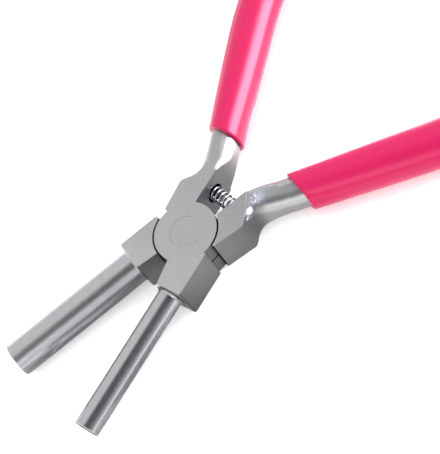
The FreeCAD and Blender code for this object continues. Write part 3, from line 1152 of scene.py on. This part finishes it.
@dataclass(frozen=True)
class Card:
    """A card with soft edges that only reflections see: a dark one paints shade into them, a bright one
    paints a reflection of light that lights nothing.

    Its centre and its radii are in metres. It faces the object, or lies level just over the floor. A tall
    card is stretched upward by that factor.
    """

    name: str
    centre: Triple
    solid_radius: float
    outer_radius: float
    density: float
    light: Triple = CARD_BLACK
    level: bool = False
    tall: float = 1.0

    def build(self) -> None:
        """Hangs or lays the card, which the camera does not see."""
        centre = Vector(self.centre)
        way = Vector((0, 0, 1)) if self.level else centre.normalized()
        bm = bmesh.new()
        bmesh.ops.create_circle(bm, cap_ends=True, segments=64, radius=self.outer_radius * self.tall)
        bmesh.ops.transform(bm, matrix=place_along(centre, way), verts=bm.verts)
        material, nodes = new_material(self.name)
        place = nodes.add("TexCoord").outputs["Object"]
        away = nodes.add("VectorMath", {0: place, 1: centre}, operation="SUBTRACT")
        squash = {0: away, 1: (1.0, 1.0, 1.0 / self.tall)}
        squashed = nodes.add("VectorMath", squash, operation="MULTIPLY")
        reach = nodes.add("VectorMath", {0: squashed}, operation="LENGTH")
        fade = nodes.add("MapRange", {
            "Value": reach, "From Min": self.solid_radius, "From Max": self.outer_radius,
            "To Min": self.density, "To Max": 0.0,
        }, interpolation_type="SMOOTHSTEP")
        clear = nodes.add("BsdfTransparent")
        glow = nodes.add("Emission", {"Color": (*self.light, 1.0)})
        mix = nodes.add("MixShader", {"Fac": fade, 1: clear, 2: glow})
        nodes.add("OutputMaterial", {"Surface": mix})
        card = piece_from(self.name, bm, material)
        card.visible_camera = False
        card.visible_diffuse = False
        card.visible_shadow = False


@dataclass
class Studio:
    """The floor, the light and the camera."""

    image_width: int = 440
    focal_px: float = 1277.45
    camera_mm: Triple = (32.2466, 168.6729, 251.2910)
    camera_right: Triple = (-0.66219, 0.66574, -0.34394)
    camera_down: Triple = (0.73802, 0.49997, -0.45316)
    sensor_mm: float = 36.0
    clip_start: float = 0.01
    floor_radius: float = 4.0
    floor_drop: float = 0.00005
    floor_tone: float = 0.98
    room_light: Pair = (0.8, 1.6)
    table_light: float = 0.3
    window_faces: Triple = (-0.035, -0.01, 0.005)
    window_direction: Triple = (-0.84, 0.40, 0.37)
    window_distance: float = 0.6
    window_size: Pair = (0.25, 0.43)
    window_watts: float = 2.0
    window_colour: Triple = (0.90, 0.90, 1.0)
    # The level dark cards paint the floor's shadow round the jaws, mandrels and handles into the reflections;
    # the glowing cards paint highlights and bright reflections.
    cards: tuple[Card, ...] = (
        Card("flag_overhead", (-0.030, 0.215, 0.449), 0.14, 0.43, 0.95),
        Card("flag_side", (-0.030, 0.430, 0.260), 0.10, 0.28, 0.6),
        Card("flag_beyond_small", (0.031, 0.027, 0.0003), 0.011, 0.030, 0.55, level=True),
        Card("flag_beyond_tips", (0.066, 0.010, 0.0003), 0.012, 0.030, 0.4, level=True),
        Card("flag_beyond_front", (-0.062, -0.052, 0.0003), 0.015, 0.048, 0.5, level=True),
        Card("flag_beyond_rear", (-0.015, 0.021, 0.0003), 0.005, 0.017, 0.45, level=True),
        Card("flag_under_mandrels", (0.033, 0.004, 0.0003), 0.014, 0.038, 0.75, level=True),
        Card(
            "glow_between_handles", (-0.057, -0.006, 0.0003), 0.022, 0.033, 1.0, (2.9, 2.7, 3.1),
            level=True,
        ),
        Card("far_glow", (1.09, 1.30, 1.06), 0.20, 0.50, 1.0, (2.9, 2.9, 2.9), tall=2.6),
        Card("window_glow", (-0.574, 0.252, 0.308), 0.14, 0.47, 1.0, (9.8, 10.3, 12.6)),
    )

    def floor(self) -> None:
        """Lays a pale matt light table, which keeps a soft shadow of the object."""
        bm = bmesh.new()
        bmesh.ops.create_circle(bm, cap_ends=True, segments=96, radius=self.floor_radius)
        bmesh.ops.translate(bm, verts=bm.verts, vec=(0, 0, -self.floor_drop))
        material, nodes = new_material("pale floor")
        paint = nodes.add("BsdfDiffuse", {"Color": (*grey(self.floor_tone), 1.0)})
        glow = nodes.add("Emission", {"Strength": self.table_light})
        both = nodes.add("AddShader", {0: paint, 1: glow})
        nodes.add("OutputMaterial", {"Surface": both})
        piece = piece_from("studio_floor", bm, material)

    def world(self) -> None:
        """Lights the object softly from above. The camera, metal and glass see the surroundings as white."""
        world = bpy.data.worlds.new("studio")
        world.use_nodes = True
        nodes = Nodes(world.node_tree)
        path = nodes.add("LightPath").outputs
        seen = nodes.add("Math", {0: path["Is Camera Ray"], 1: path["Is Glossy Ray"]}, operation="MAXIMUM")
        clear = nodes.add("Math", {0: seen, 1: path["Is Transmission Ray"]}, operation="MAXIMUM")
        place = nodes.add("TexCoord").outputs["Generated"]
        height = nodes.add("SeparateXYZ", {"Vector": place}).outputs["Z"]
        raised = nodes.add("Math", {0: height, 1: 2.0}, operation="POWER")
        strength = nodes.add("MapRange", {
            "Value": raised, "To Min": self.room_light[0], "To Max": self.room_light[1],
        })
        room = nodes.add("Background", {"Color": WHITE, "Strength": strength})
        white = nodes.add("Background", {"Color": WHITE, "Strength": 1.0})
        mix = nodes.add("MixShader", {"Fac": clear, 1: room, 2: white})
        nodes.add("OutputWorld", {"Surface": mix})
        bpy.context.scene.world = world

    def window(self) -> None:
        """Sets a cool soft window beyond the handles, which the sleeves and the necks mirror."""
        light = bpy.data.lights.new("window", "AREA")
        light.shape = "RECTANGLE"
        light.size, light.size_y = self.window_size
        light.energy = self.window_watts
        light.color = self.window_colour
        lamp = bpy.data.objects.new("window", light)
        way = Vector(self.window_direction).normalized()
        lamp.location = Vector(self.window_faces) + way * self.window_distance
        lamp.rotation_euler = way.to_track_quat("Z", "Y").to_euler()
        bpy.context.scene.collection.objects.link(lamp)

    def camera(self) -> None:
        """Places the camera where the photograph was taken from."""
        right = Vector(self.camera_right).normalized()
        down = Vector(self.camera_down)
        down = (down - right * down.dot(right)).normalized()
        back = right.cross(-down)
        data = bpy.data.cameras.new("camera")
        data.sensor_fit = "HORIZONTAL"
        data.sensor_width = self.sensor_mm
        data.lens = self.focal_px * self.sensor_mm / self.image_width
        data.clip_start = self.clip_start
        eye = bpy.data.objects.new("camera", data)
        basis = Matrix((right, -down, back)).transposed().to_4x4()
        eye.matrix_world = Matrix.Translation(Vector(self.camera_mm) * MM) @ basis
        bpy.context.scene.collection.objects.link(eye)
        bpy.context.scene.camera = eye

    def build(self) -> None:
        """Makes the whole studio."""
        bpy.context.scene.view_settings.view_transform = "Standard"
        self.floor()
        self.world()
        self.window()
        for card in self.cards:
            card.build()
        self.camera()


def main() -> None:
    """Builds the pliers and the studio."""
    logging.basicConfig(level=logging.INFO, format="%(message)s")
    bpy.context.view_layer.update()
    effects = Effects(grain_group(), wear_group(), painted_shade_group(), hammer_group(), facet_group())
    satin = SATIN.build(effects)
    vinyl = VinylFinish().build(effects)
    Forging("front_arm", Half.FRONT, neck_shade=0.3).build(satin)
    Forging("rear_arm", Half.REAR, neck_shade=0.5).build(satin)
    Mandrel("small_mandrel", "small_mandrel_end", Half.FRONT, cove=0.8, cove_line=0.12).build(effects)
    Mandrel("large_mandrel", "large_mandrel_end", Half.REAR, cove=0.3, cove_line=0.0).build(effects)
    Rivet().build(RIVET_HEAD.build(effects))
    CoilSpring().build(WIRE.build(effects))
    Sleeve(
        "front_grip", Half.FRONT, splay=20.8, crossing=6.3, start=21.95, mouth_half_width=4.6,
        half_width=5.65, bore_half_width=3.67,
    ).build(vinyl)
    Sleeve(
        "rear_grip", Half.REAR, splay=23.7, crossing=8.4, start=19.75, mouth_half_width=4.95,
        half_width=5.8, bore_half_width=3.92,
    ).build(vinyl)
    Studio().build()


if __name__ == "__main__":
    main()
